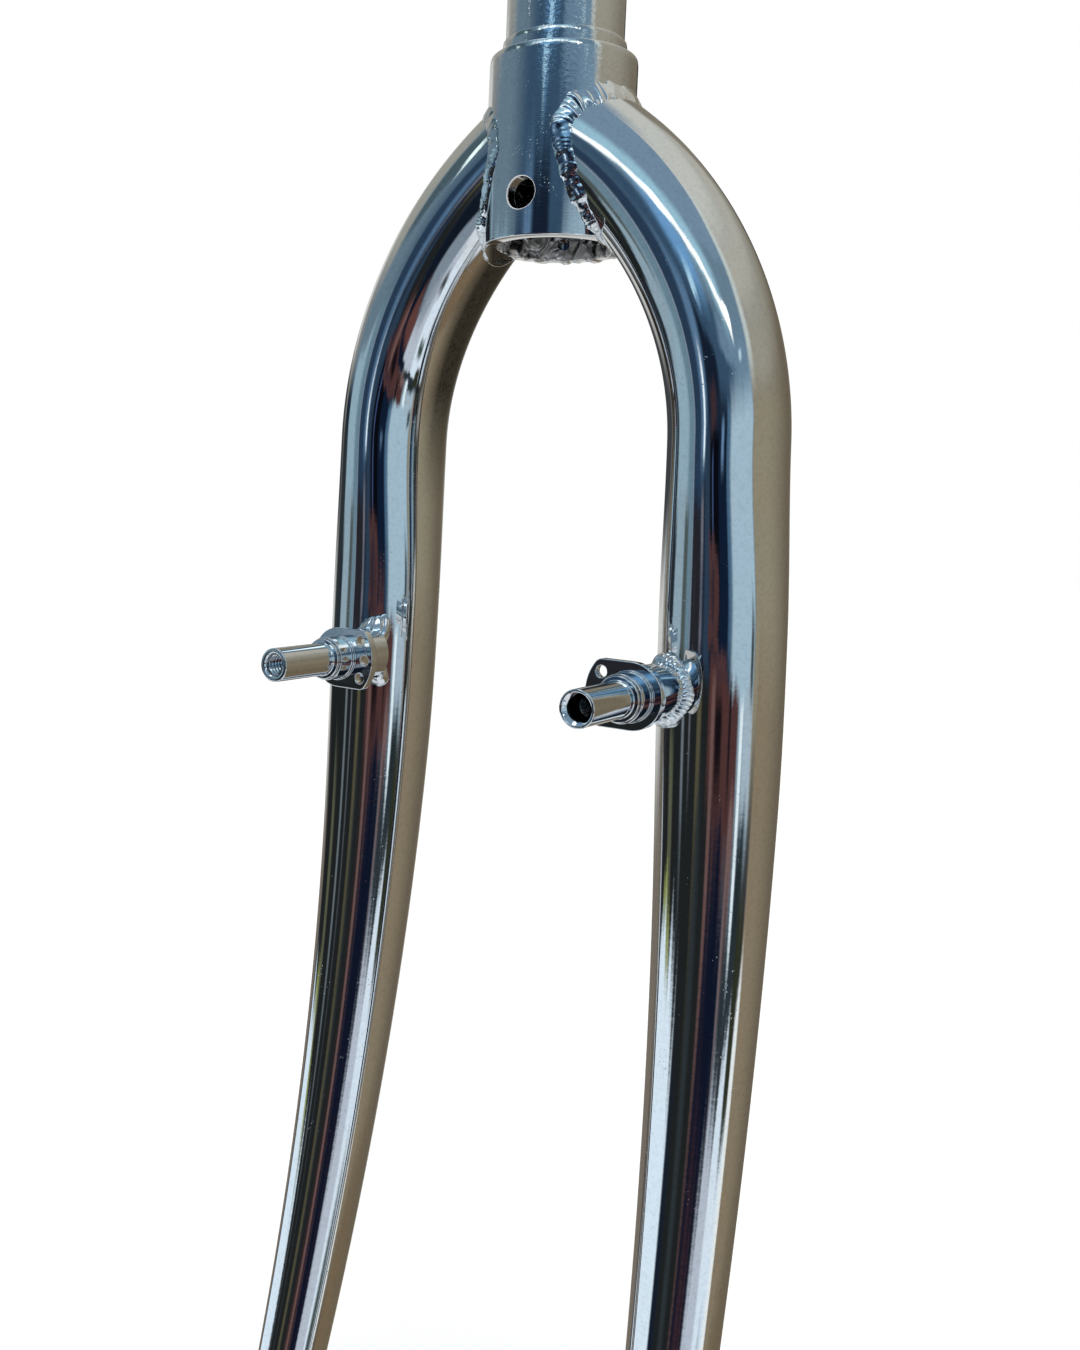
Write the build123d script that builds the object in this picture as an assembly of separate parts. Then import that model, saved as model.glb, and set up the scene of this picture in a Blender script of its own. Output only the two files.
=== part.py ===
from build123d import *
import math
import os

# Rigid bicycle fork, in millimetres. The origin is on the steerer's axis, on the shoulder that the crown race sits on.
# +Z runs up the steerer, -Y is forward and +X is the rider's left. Drops are measured down from the origin.

# Steerer, race seat and collar
STEERER_D = 28.6
STEERER_WALL = 1.6
STEERER_LENGTH = 215.0
SEAT_STEP = 0.7
SEAT_HEIGHT = 4.0
SHOULDER_WIDTH = 2.85
SHOULDER_ROUND = 1.0
COLLAR_WALL = 3.6
COLLAR_LENGTH = 44.5
COLLAR_BORE_DEPTH = 22.0
EDGE_BREAK = 0.4
BOLT_HOLE_D = 8.0
BOLT_HOLE_RISE = 10.0
VENT_D = 3.0
VENT_RISE = 4.0
VENT_TURN = 112.0

# Blades: a bend out of the collar, a run where its flattened section grows round, a straight run and the rake
BLADE_D = 28.6
BLADE_WALL = 1.5
BLADE_TIP_D = 15.0
BEND_RADIUS = 87.5
BEND_FLATTENING = 0.07
BEND_FALL = 46.8
BEND_END_OFFSET = 47.0
ROUNDING_RUN = 42.0
STRAIGHT_RUN = 22.7
RAKE_RADIUS = 670.0
AXLE_DROP = 403.0

# Brake bosses
BOSS_SPACING = 80.0
BOSS_DROP = 146.6
BARREL_D = 12.0
BARREL_STAND = 13.2
PLATE_THICKNESS = 2.2
PLATE_HEIGHT = 14.8
PLATE_REACH = 10.8
PLATE_CORNER = 2.0
SPRING_HOLE_D = 2.6
SPRING_HOLE_EDGE = 1.1
SPRING_HOLE_PITCH = 33.0
STUD_SHOULDER_D = 10.6
STUD_SHOULDER_LENGTH = 5.2
STUD_STEP_D = 9.4
STUD_STEP_LENGTH = 0.8
STUD_POST_D = 8.0
STUD_POST_LENGTH = 17.6
STUD_BORE_D = 5.0
STUD_BORE_DEPTH = 14.0
STUD_MOUTH = 0.7
SPIGOT_D = 8.0
SPIGOT_LENGTH = 8.0
SCREW_CLEARANCE = 0.05

# Dropouts
HUB_SPACING = 100.0
DROPOUT_THICKNESS = 5.0
DROPOUT_WIDTH = 26.0
DROPOUT_CREST = 13.0
DROPOUT_CORNER = 8.6
DROPOUT_RISE = 22.0
PRONG_LENGTH = 11.0
AXLE_SLOT = 9.2
NECK_FILLET = 4.0
TONGUE_LENGTH = 14.0
TONGUE_CLEARANCE = 0.6

# Weld beads: a round bead whose centre is sunk below the corner that it fills
CROWN_BEAD_R = 2.9
CROWN_BEAD_SINK = 0.9
BOSS_BEAD_R = 2.6
BOSS_BEAD_SINK = 0.5
BOSS_BEAD_TURN = 128.0
TIP_BEAD_LENGTH = 5.0
TIP_BEAD_NARROWING = 0.26

# How closely an edge or corner has to lie where it is looked for
NEAR = 1e-3

# Worked out from the sizes above
seat_r = STEERER_D / 2 + SEAT_STEP
collar_r = seat_r + SHOULDER_WIDTH
blade_r = BLADE_D / 2
tip_r = BLADE_TIP_D / 2
bend_half_width = blade_r * (1 - BEND_FLATTENING)
bend_half_depth = blade_r * (1 + BEND_FLATTENING)
bend_end_drop = COLLAR_LENGTH + BEND_FALL
tip_drop = AXLE_DROP - DROPOUT_RISE
tip_offset = HUB_SPACING / 2 + DROPOUT_THICKNESS / 2
splay = math.atan2(tip_offset - BEND_END_OFFSET, tip_drop - bend_end_drop)
down = Vector(math.sin(splay), 0, -math.cos(splay))
outward = Vector(math.cos(splay), 0, math.sin(splay))
forward = Vector(0, -1, 0)
bend_end = Vector(BEND_END_OFFSET, 0, -bend_end_drop)
bend_centre = bend_end - outward * BEND_RADIUS
round_end = bend_end + down * ROUNDING_RUN
rake_start = round_end + down * STRAIGHT_RUN
rake_turn = math.asin((tip_drop + rake_start.Z) / (RAKE_RADIUS * math.cos(splay)))
boss_x = BOSS_SPACING / 2
barrel_face = blade_r + BARREL_STAND
plate_face = barrel_face + PLATE_THICKNESS


def turned(profile):
    """A solid turned about Z from its half profile, a list of radius and height pairs."""
    return revolve(make_face(Polyline(*[(r, 0, z) for r, z in profile], close=True)), Axis.Z)


def rim(solid, radius, height):
    """The round edges of a turned solid at one radius and height."""
    rings = solid.edges().filter_by(GeomType.CIRCLE)
    return [e for e in rings if abs(e.radius - radius) < NEAR and abs(e.arc_center.Z - height) < NEAR]


def radial_hole(diameter, rise, turn):
    """A drill out through the collar, rise above its lower end, in the direction that turns from +X towards +Y."""
    angle = math.radians(turn)
    direction = Vector(math.cos(angle), math.sin(angle), 0)
    start = Plane((0, 0, rise - COLLAR_LENGTH), z_dir=direction)
    return extrude(start * Circle(diameter / 2), 2 * collar_r)


def bolt_hole_mouths(tube):
    """The outer edges of the bolt hole, front and rear."""
    mouths = []
    for edge in tube.edges():
        point = edge @ 0.5
        off_axis = math.hypot(point.X, point.Z + COLLAR_LENGTH - BOLT_HOLE_RISE)
        on_collar = abs(math.hypot(point.X, point.Y) - collar_r) < NEAR
        if on_collar and abs(off_axis - BOLT_HOLE_D / 2) < NEAR:
            mouths.append(edge)
    return mouths


def steerer_tube():
    """The steerer with its race seat and collar, bored from both ends and drilled across."""
    steerer_r = STEERER_D / 2
    bore_r = steerer_r - STEERER_WALL
    collar_bore_r = collar_r - COLLAR_WALL
    step = COLLAR_BORE_DEPTH - COLLAR_LENGTH
    tube = turned(
        [
            (bore_r, STEERER_LENGTH),
            (steerer_r, STEERER_LENGTH),
            (steerer_r, SEAT_HEIGHT),
            (seat_r, SEAT_HEIGHT),
            (seat_r, 0),
            (collar_r, 0),
            (collar_r, -COLLAR_LENGTH),
            (collar_bore_r, -COLLAR_LENGTH),
            (collar_bore_r, step),
            (bore_r, step + abs(collar_bore_r - bore_r)),
        ]
    )
    tube = fillet(rim(tube, collar_r, 0), SHOULDER_ROUND)
    for radius, height in ((collar_r, -COLLAR_LENGTH), (seat_r, SEAT_HEIGHT), (steerer_r, STEERER_LENGTH)):
        tube = chamfer(rim(tube, radius, height), EDGE_BREAK)
    for turn in (-90, 90):
        tube -= radial_hole(BOLT_HOLE_D, BOLT_HOLE_RISE, turn)
    tube = chamfer(bolt_hole_mouths(tube), EDGE_BREAK)
    return tube - radial_hole(VENT_D, VENT_RISE, VENT_TURN)


def section(origin, along, half_width, half_depth):
    """One cross-section of the left blade: half_width lies across the fork and half_depth fore and aft."""
    return Plane(origin, x_dir=outward, z_dir=along) * Ellipse(half_width, half_depth)


def rake_point(turn):
    """Place and direction of the left blade's centre line, turn radians into the rake."""
    place = rake_start + (down * math.sin(turn) + forward * (1 - math.cos(turn))) * RAKE_RADIUS
    return place, down * math.cos(turn) + forward * math.sin(turn)


def rake_radius(turn):
    """Outer radius of the blade, turn radians into the rake."""
    return blade_r + (tip_r - blade_r) * turn / rake_turn


def blade_bend(inset):
    """The left blade's bend, from well inside the collar to the bend's end."""
    inside_collar = math.acos((collar_r / 4 - bend_centre.X) / BEND_RADIUS) - splay
    profile = section(bend_end, down, bend_half_width - inset, bend_half_depth - inset)
    return revolve(profile, Axis(bend_centre, forward), math.degrees(inside_collar))


def blade_rounding(inset):
    """The run below the bend, where the flattened section eases into a round one."""
    steps = 4
    sections = []
    for step in range(steps + 1):
        share = step / steps
        ease = share * share * (3 - 2 * share)
        width = bend_half_width + (blade_r - bend_half_width) * ease
        depth = bend_half_depth + (blade_r - bend_half_depth) * ease
        sections.append(section(bend_end + down * (ROUNDING_RUN * share), down, width - inset, depth - inset))
    return loft(sections)


def blade_rake(inset, overrun):
    """The tapered, raked length of the left blade, with an overrun past its tip."""
    steps = 5
    sections = []
    for step in range(steps + 1):
        turn = (rake_turn + overrun / RAKE_RADIUS) * step / steps
        place, along = rake_point(turn)
        sections.append(Plane(place, x_dir=outward, z_dir=along) * Circle(rake_radius(turn) - inset))
    return loft(sections)


def blade_body(inset, overrun=0.0):
    """The left blade as a solid bar, inset from its outside, with an overrun past its tip."""
    straight = Plane(round_end, x_dir=outward, z_dir=down) * Circle(blade_r - inset)
    straight = extrude(straight, STRAIGHT_RUN)
    return blade_bend(inset) + blade_rounding(inset) + straight + blade_rake(inset, overrun)


def blade(bar):
    """The left blade: a tube, mitred to the collar."""
    mitre = Pos(0, 0, -COLLAR_LENGTH) * Cylinder(collar_r, 2 * COLLAR_LENGTH + BLADE_D)
    return bar - blade_body(BLADE_WALL, overrun=BLADE_WALL) - mitre


def crown_seam(turn):
    """A point of the corner between the left blade and the collar, and the direction out of that corner."""
    depth = bend_half_depth * math.sin(turn)
    across = math.sqrt(max(collar_r**2 - depth**2, 0))
    swing = BEND_RADIUS + bend_half_width * math.cos(turn)
    climb = math.acos((across - bend_centre.X) / swing)
    place = Vector(across, depth, bend_centre.Z + swing * math.sin(climb))
    radial = Vector(math.cos(climb), 0, math.sin(climb))
    blade_normal = radial * (math.cos(turn) / bend_half_width) + Vector(0, math.sin(turn) / bend_half_depth, 0)
    collar_normal = Vector(across, depth, 0)
    return place, (blade_normal.normalized() + collar_normal.normalized()).normalized()


def boss_seam(turn):
    """A point of the corner between the left barrel and its blade, turn radians up from outboard."""
    radial = Vector(math.cos(turn), 0, math.sin(turn))
    on_barrel = Vector(boss_x, 0, -BOSS_DROP) + radial * (BARREL_D / 2)
    blade_x = BEND_END_OFFSET - (on_barrel.Z + bend_end_drop) * math.tan(splay)
    across = on_barrel.X - blade_x
    ahead = math.sqrt(max(blade_r**2 - across**2, 0))
    place = Vector(on_barrel.X, -ahead, on_barrel.Z)
    return place, (Vector(across, -ahead, 0).normalized() + radial).normalized()


def bead_path(seam, turns, sink):
    """The centre line of a bead laid along a seam, sunk into the corner."""
    points = []
    for turn in turns:
        place, out = seam(turn)
        points.append(place - out * sink)
    return Spline(*points)


def bead(path, radius):
    """A round bar laid along a path."""
    return sweep(Plane(path @ 0, z_dir=path % 0) * Circle(radius), path)


def crown_weld(bar):
    """The bead round the left blade's mitre: its rear half is laid a little past the middle, trimmed and mirrored."""
    steps = 14
    turns = [math.pi * step / steps for step in range(-1, steps + 2)]
    laid = bead(bead_path(crown_seam, turns, CROWN_BEAD_SINK), CROWN_BEAD_R)
    collar = Pos(0, 0, -COLLAR_LENGTH / 2) * Cylinder(collar_r, COLLAR_LENGTH)
    rear = split(laid, Plane.XZ, keep=Keep.BOTTOM) - collar - bar
    return rear + mirror(rear, about=Plane.XZ)


def boss_bar(diameter, back, front):
    """A round bar on the left boss's axis, from back to front ahead of the steerer's axis."""
    start = Plane((boss_x, -back, -BOSS_DROP), z_dir=forward)
    return extrude(start * Circle(diameter / 2), front - back)


def boss_barrel(bar):
    """The left boss's barrel, coped to the blade and bored for the stud."""
    return boss_bar(BARREL_D, 0, barrel_face) - bar - boss_bar(SPIGOT_D, barrel_face - SPIGOT_LENGTH, barrel_face)


def boss_weld(bar):
    """The bead round the left barrel, above, outboard and below."""
    steps = 12
    turns = [math.radians(BOSS_BEAD_TURN * (2 * step / steps - 1)) for step in range(steps + 1)]
    path = bead_path(boss_seam, turns, BOSS_BEAD_SINK)
    laid = bead(path, BOSS_BEAD_R)
    for end in (path @ 0, path @ 1):
        laid += Pos(end) * Sphere(BOSS_BEAD_R)
    return laid - bar - boss_bar(BARREL_D, 0, barrel_face)


def spring_plate():
    """The left boss's stamped plate: round outboard, reaching in towards the wheel to its spring holes."""
    hole_r = SPRING_HOLE_D / 2
    hole_ring = PLATE_REACH - SPRING_HOLE_EDGE - hole_r
    outline = Circle(PLATE_HEIGHT / 2)
    outline += Circle(PLATE_REACH) & Pos(-PLATE_REACH / 2, 0) * Rectangle(PLATE_REACH, PLATE_HEIGHT)
    outline = fillet(outline.vertices().group_by(Axis.X)[0], PLATE_CORNER)
    outline -= Circle(SPIGOT_D / 2)
    for step in (-1, 0, 1):
        outline -= Rot(0, 0, 180 + step * SPRING_HOLE_PITCH) * Pos(hole_ring, 0) * Circle(hole_r)
    place = Plane((boss_x, -barrel_face, -BOSS_DROP), x_dir=(1, 0, 0), z_dir=forward)
    return extrude(place * outline, PLATE_THICKNESS)


def pivot_stud():
    """The left stud: spigot, shoulder, step and post in one, bored for the brake's bolt."""
    shoulder_end = plate_face + STUD_SHOULDER_LENGTH
    step_end = shoulder_end + STUD_STEP_LENGTH
    post_end = step_end + STUD_POST_LENGTH
    stud = boss_bar(SPIGOT_D - 2 * SCREW_CLEARANCE, barrel_face - SPIGOT_LENGTH + SCREW_CLEARANCE, plate_face)
    stud += boss_bar(STUD_SHOULDER_D, plate_face, shoulder_end)
    stud += boss_bar(STUD_STEP_D, shoulder_end, step_end)
    stud += boss_bar(STUD_POST_D, step_end, post_end)
    stud = chamfer(stud.faces().sort_by(Axis.Y)[0].edges(), EDGE_BREAK)
    stud -= boss_bar(STUD_BORE_D, post_end - STUD_BORE_DEPTH, post_end)
    return chamfer(stud.faces().sort_by(Axis.Y)[0].edges().sort_by(SortBy.RADIUS)[0], STUD_MOUTH)


def dropout():
    """The left dropout: a tongue for the blade's bore, a neck of the same width and prongs round the axle slot."""
    tip, along = rake_point(rake_turn)
    lean = math.atan2(-along.Y, -along.Z)
    axle_y = tip.Y - DROPOUT_RISE * math.tan(lean)
    half_neck = math.sqrt((tip_r - BLADE_WALL - TONGUE_CLEARANCE) ** 2 - (DROPOUT_THICKNESS / 2) ** 2)
    neck_length = DROPOUT_RISE / math.cos(lean) + TONGUE_LENGTH
    lobe = RectangleRounded(DROPOUT_WIDTH, DROPOUT_CREST + PRONG_LENGTH, DROPOUT_CORNER)
    outline = Pos(0, (DROPOUT_CREST - PRONG_LENGTH) / 2) * lobe
    turn = math.degrees(lean)
    outline += Rot(0, 0, -turn) * Pos(0, neck_length / 2) * Rectangle(2 * half_neck, neck_length)
    corners = []
    for corner in outline.vertices():
        on_neck = Vector(corner.X, corner.Y).rotate(Axis.Z, turn)
        if abs(abs(on_neck.X) - half_neck) < NEAR and on_neck.Y < neck_length - NEAR:
            corners.append(corner)
    outline = fillet(corners, NECK_FILLET)
    outline -= Circle(AXLE_SLOT / 2) + Pos(0, -PRONG_LENGTH) * Rectangle(AXLE_SLOT, 2 * PRONG_LENGTH)
    inner_face = Plane((HUB_SPACING / 2, axle_y, -AXLE_DROP), x_dir=(0, 1, 0), z_dir=(1, 0, 0))
    return extrude(inner_face * outline, DROPOUT_THICKNESS)


def tip_weld(plate):
    """The weld that closes the left blade's end round the dropout's neck."""
    tip, along = rake_point(rake_turn)
    start = Plane(tip, x_dir=outward, z_dir=along)
    end = Plane(tip + along * TIP_BEAD_LENGTH, x_dir=outward, z_dir=along)
    return loft([start * Circle(tip_r), end * Circle(tip_r * (1 - TIP_BEAD_NARROWING))]) - plate


os.makedirs("parts", exist_ok=True)
export_step(steerer_tube(), "parts/steerer_tube.step")

solid_blade = blade_body(0)
left_dropout = dropout()
left_pieces = {
    "blade": blade(solid_blade),
    "crown_weld": crown_weld(solid_blade),
    "boss_barrel": boss_barrel(solid_blade),
    "boss_weld": boss_weld(solid_blade),
    "spring_plate": spring_plate(),
    "pivot_stud": pivot_stud(),
    "dropout": left_dropout,
    "tip_weld": tip_weld(left_dropout),
}
for name, piece in left_pieces.items():
    export_step(piece, f"parts/left_{name}.step")
    export_step(mirror(piece, about=Plane.YZ), f"parts/right_{name}.step")
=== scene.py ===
import math

import bmesh
import bpy
import numpy as np
from mathutils import Matrix, Vector


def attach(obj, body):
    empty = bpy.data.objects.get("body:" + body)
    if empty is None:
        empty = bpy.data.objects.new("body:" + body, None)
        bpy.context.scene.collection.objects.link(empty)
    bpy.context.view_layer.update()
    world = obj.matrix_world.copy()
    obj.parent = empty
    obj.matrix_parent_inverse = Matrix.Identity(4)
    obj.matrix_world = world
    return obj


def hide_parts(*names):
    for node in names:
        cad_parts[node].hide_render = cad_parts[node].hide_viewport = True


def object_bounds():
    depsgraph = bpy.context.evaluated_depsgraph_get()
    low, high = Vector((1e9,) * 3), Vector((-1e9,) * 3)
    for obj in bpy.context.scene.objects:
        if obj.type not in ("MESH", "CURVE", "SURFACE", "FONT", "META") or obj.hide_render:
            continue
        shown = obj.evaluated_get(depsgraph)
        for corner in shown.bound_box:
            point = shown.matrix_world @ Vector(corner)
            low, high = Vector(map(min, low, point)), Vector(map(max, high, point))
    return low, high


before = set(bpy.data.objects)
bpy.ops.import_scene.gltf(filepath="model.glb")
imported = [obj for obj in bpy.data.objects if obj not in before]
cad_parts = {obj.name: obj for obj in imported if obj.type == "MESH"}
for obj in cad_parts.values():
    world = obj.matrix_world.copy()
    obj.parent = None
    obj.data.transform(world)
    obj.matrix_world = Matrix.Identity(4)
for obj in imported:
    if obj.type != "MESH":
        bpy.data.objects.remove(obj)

cad_low, cad_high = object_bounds()


# Steerer tube
# One turned steel tube: a thin steerer, a raised seat for the crown race and a thick collar below its shoulder.
# It is polished and chrome-plated, and fine turning lines and plating specks still show in its highlights.
class Wire:
    """A socket in a node tree: arithmetic on it adds Math nodes, and add() any other node."""

    def __init__(self, tree, socket=None):
        self.tree = tree
        self.socket = socket

    def add(self, kind, settings=None, inputs=None, out=0):
        node = self.tree.nodes.new(kind)
        for name, value in (settings or {}).items():
            setattr(node, name, value)
        for name, value in (inputs or {}).items():
            if isinstance(value, Wire):
                self.tree.links.new(value.socket, node.inputs[name])
            else:
                node.inputs[name].default_value = value
        return Wire(self.tree, node.outputs[out])

    def math(self, operation, first, second=0.0, clamp=False):
        return self.add("ShaderNodeMath", {"operation": operation, "use_clamp": clamp}, {0: first, 1: second})

    def __add__(self, other):
        return self.math("ADD", self, other)

    __radd__ = __add__

    def __sub__(self, other):
        return self.math("SUBTRACT", self, other)

    def __rsub__(self, other):
        return self.math("SUBTRACT", other, self)

    def __mul__(self, other):
        return self.math("MULTIPLY", self, other)

    __rmul__ = __mul__

    def __truediv__(self, other):
        return self.math("DIVIDE", self, other)

    def clamp(self):
        return self.math("ADD", self, 0.0, clamp=True)


def clouds(place, scale, detail, distortion=0.0):
    """A cloudy pattern of values about 0.5."""
    inputs = {"Vector": place, "Scale": scale, "Detail": detail, "Distortion": distortion}
    return place.add("ShaderNodeTexNoise", None, inputs, "Fac")


def coordinate(place, axis):
    """One coordinate of a place."""
    return place.add("ShaderNodeSeparateXYZ", None, {0: place}, axis)


def scaled(place, factors):
    """A place with each coordinate multiplied by its own factor."""
    return place.add("ShaderNodeVectorMath", {"operation": "MULTIPLY"}, {0: place, 1: factors}, "Vector")


def blend(share, first, second):
    """A colour between two others."""
    return share.add("ShaderNodeMix", {"data_type": "RGBA"}, {"Factor": share, "A": first, "B": second}, "Result")


MM = 0.001
CHROME = (0.80, 0.815, 0.83)
CHROME_WARM = (0.815, 0.81, 0.80)
# The dark tone mixed into the plating, for its darker grain and for painted shade.
DARK_TONE = (0.025, 0.024, 0.024)


def chrome(name, peel=0.03, specks=0.3, spread=0.35, lines=None, roughness=0.03, wear_and_shade=None):
    """Chrome plating: peel is its orange-peel bump, specks the depth of its pits and spread how many there are.
    lines is the axis and depth of its turning marks. The last argument gives more painted shade, roughness, bump and
    dullness from the place.
    """
    material = bpy.data.materials.new(name)
    material.use_nodes = True
    tree = material.node_tree
    shader = tree.nodes["Principled BSDF"]
    place = Wire(tree).add("ShaderNodeTexCoord", out="Object")
    cloud = clouds(place, 60.0, 4.0)
    grain = clouds(place, 700.0, 3.0)
    mottle = clouds(place, 1500.0, 1.0)
    patches = clouds(place, 210.0, 1.0)
    cells = place.add("ShaderNodeTexVoronoi", None, {"Vector": place, "Scale": 1300.0}, "Distance")
    pit = ((0.2 - cells) * 8.0).clamp() * ((patches - 1.0 + spread) * 9.0).clamp()
    tint = blend(((cloud - 0.35) * 2.0).clamp(), (*CHROME, 1), (*CHROME_WARM, 1))
    rough = roughness + (cloud - 0.5) * 0.02 + pit * 0.2
    height = grain * peel - pit * specks
    darkening = (0.5 - grain).clamp() * 0.35 + (0.55 - mottle).clamp() * 0.3
    if lines:
        axis, depth = lines
        fine = [420.0, 420.0, 420.0]
        fine["XYZ".index(axis)] = 5200.0
        height = height + clouds(scaled(place, fine), 1.0, 2.0) * depth
    if wear_and_shade:
        more_shade, more_rough, more_height, dull = wear_and_shade(place)
        if dull:
            tree.links.new((1 - dull).socket, shader.inputs["Metallic"])
        # Adds the place's painted shade to the plating's own darker grain.
        darkening = darkening + more_shade
        rough = rough + more_rough
        height = height + more_height
    tree.links.new(blend(darkening.clamp(), tint, (*DARK_TONE, 1)).socket, shader.inputs["Base Color"])
    shader.inputs["Metallic"].default_value = 1.0
    tree.links.new(rough.clamp().socket, shader.inputs["Roughness"])
    normal = place.add("ShaderNodeBump", None, {"Strength": 1.0, "Distance": 0.1 * MM, "Height": height})
    tree.links.new(normal.socket, shader.inputs["Normal"])
    return material


def piece_from(name, points, faces, material, replaced, sharp=35):
    """A piece of the fork made from points and faces."""
    mesh = bpy.data.meshes.new(name)
    mesh.from_pydata(points, [], faces)
    return piece_of(name, mesh, material, replaced, sharp)


def piece_of(name, mesh, material, replaced, sharp=35):
    """A finished mesh put on the fork in place of its plain solid, smooth but for edges sharper than an angle."""
    mesh.materials.clear()
    mesh.materials.append(material)
    mesh.shade_smooth()
    mesh.set_sharp_from_angle(angle=math.radians(sharp))
    piece = bpy.data.objects.new(name, mesh)
    bpy.context.collection.objects.link(piece)
    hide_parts(replaced)
    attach(piece, "root")
    even = piece.modifiers.new("even_normals", "WEIGHTED_NORMAL")
    even.keep_sharp = True
    even.weight = 100
    return piece


def rounded(corners, steps=4):
    """A profile whose corners, each (along, radius, rounding), are rounded off."""
    profile = []
    for index, (along, radius, rounding) in enumerate(corners):
        here = np.array((along, radius))
        if not rounding:
            profile.append(here)
            continue
        before = np.array(corners[index - 1][:2]) - here
        after = np.array(corners[(index + 1) % len(corners)][:2]) - here
        start = here + before / np.linalg.norm(before) * rounding
        end = here + after / np.linalg.norm(after) * rounding
        for share in np.linspace(0, 1, steps + 1):
            profile.append(start * (1 - share) ** 2 + here * 2 * share * (1 - share) + end * share ** 2)
    return np.array(profile)


def wrap_faces(rows, columns, loop=False):
    """Quads between rows of points, each row closed on itself, and the last row closed on the first in a loop."""
    faces = []
    for row in range(rows if loop else rows - 1):
        near = row * columns
        far = (row + 1) % rows * columns
        for column in range(columns):
            ahead = (column + 1) % columns
            faces.append((near + column, near + ahead, far + ahead, far + column))
    return faces


def turned(profile, columns, thread=None):
    """Points and faces of a turned solid about Z whose profile starts and ends on the axis.
    thread gives an extra radius from the profile's row and the angle."""
    angles = np.linspace(0, 2 * math.pi, columns, endpoint=False)
    points = []
    inner = profile[1:-1]
    for row, (along, radius) in enumerate(inner):
        extra = thread(row + 1, angles) if thread else 0.0
        reach = radius + extra * np.ones(columns)
        points += zip(reach * np.cos(angles), reach * np.sin(angles), along * np.ones(columns))
    faces = wrap_faces(len(inner), columns)
    first = len(points)
    points.append((0, 0, profile[0][0]))
    points.append((0, 0, profile[-1][0]))
    last_row = (len(inner) - 1) * columns
    for column in range(columns):
        ahead = (column + 1) % columns
        faces.append((first, ahead, column))
        faces.append((first + 1, last_row + column, last_row + ahead))
    return points, faces


STEERER_R = 14.3 * MM
STEERER_BORE_R = 12.7 * MM
STEERER_TOP = 215 * MM
SEAT_R = 15 * MM
SEAT_TOP = 4 * MM
COLLAR_R = 17.85 * MM
COLLAR_BORE_R = 14.25 * MM
COLLAR_END = -44.5 * MM
COLLAR_BORE_TOP = -22.5 * MM
COLLAR_BORE_STEP = 1.55 * MM
DRIP = 0.5 * MM
DRIP_EDGE = COLLAR_END + 0.3 * MM
BOLT_HOLE_R = 3.76 * MM
BOLT_HOLE_Z = -34.5 * MM
BOLT_HOLE_EASE = 0.24 * MM
VENT_R = 1.5 * MM
VENT_Z = -40.5 * MM
VENT_HEADING = math.radians(112)
VENT_LENGTH = 8 * MM
VENT_MIDDLE = 13 * MM
STEERER_COLUMNS = 240
DRILL_COLUMNS = 120
DRILL_TURN = 0.02
steerer_outline = rounded(
    [
        (STEERER_TOP, STEERER_BORE_R, 0.3 * MM),
        (COLLAR_BORE_TOP + COLLAR_BORE_STEP, STEERER_BORE_R, 0),
        (COLLAR_BORE_TOP, COLLAR_BORE_R, 0),
        (COLLAR_END, COLLAR_BORE_R, 0.35 * MM),
        (COLLAR_END, COLLAR_R, 0.45 * MM),
        (-1.0 * MM, COLLAR_R, 0.6 * MM),
        (0, COLLAR_R - 0.2 * MM, 0.25 * MM),
        (0, SEAT_R, 0),
        (SEAT_TOP - 0.8 * MM, SEAT_R, 0.5 * MM),
        (SEAT_TOP, SEAT_R - 0.15 * MM, 0.2 * MM),
        (SEAT_TOP, STEERER_R, 0),
        (STEERER_TOP, STEERER_R, 0.4 * MM),
    ]
)


def bolt_drill():
    """The cutter for the bolt hole, flared where it leaves the collar so that the hole's rims are eased.
    It is turned a little, so that none of its edges lies on one of the tube's."""
    columns = DRILL_COLUMNS
    angles = np.linspace(0, 2 * math.pi, columns, endpoint=False) + DRILL_TURN
    wide = BOLT_HOLE_R + BOLT_HOLE_EASE
    wide_edge = np.sqrt(COLLAR_R ** 2 - (wide * np.cos(angles)) ** 2) + 0.01 * MM
    edge = np.sqrt(COLLAR_R ** 2 - (BOLT_HOLE_R * np.cos(angles)) ** 2)
    rims = [(wide, np.full(columns, COLLAR_R + 2 * MM))]
    for share in np.linspace(0, 1, 8):
        flare = (1 - share) ** 2
        out = wide_edge * flare + edge * (1 - flare) - BOLT_HOLE_EASE * share ** 2
        rims.append((BOLT_HOLE_R + BOLT_HOLE_EASE * flare, out))
    points = []
    for reach, out in rims:
        points += zip(reach * np.cos(angles), -out, BOLT_HOLE_Z + reach * np.sin(angles))
    for reach, out in rims[::-1]:
        points += zip(reach * np.cos(angles), out, BOLT_HOLE_Z + reach * np.sin(angles))
    faces = wrap_faces(2 * len(rims), columns)
    faces.append(tuple(range(columns))[::-1])
    faces.append(tuple(range(len(points) - columns, len(points))))
    mesh = bpy.data.meshes.new("bolt_drill")
    mesh.from_pydata(points, [], [face[::-1] for face in faces])
    return bpy.data.objects.new("bolt_drill", mesh)


def vent_drill():
    """The cutter for the vent, which stops short of the collar's outside."""
    bpy.ops.mesh.primitive_cylinder_add(vertices=72, radius=VENT_R, depth=VENT_LENGTH)
    drill = bpy.context.object
    place = Vector((math.cos(VENT_HEADING), math.sin(VENT_HEADING), 0)) * VENT_MIDDLE + Vector((0, 0, VENT_Z))
    turn = Matrix.Rotation(VENT_HEADING, 4, "Z") @ Matrix.Rotation(math.pi / 2, 4, "Y")
    drill.matrix_world = Matrix.Translation(place) @ turn
    return drill


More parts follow.
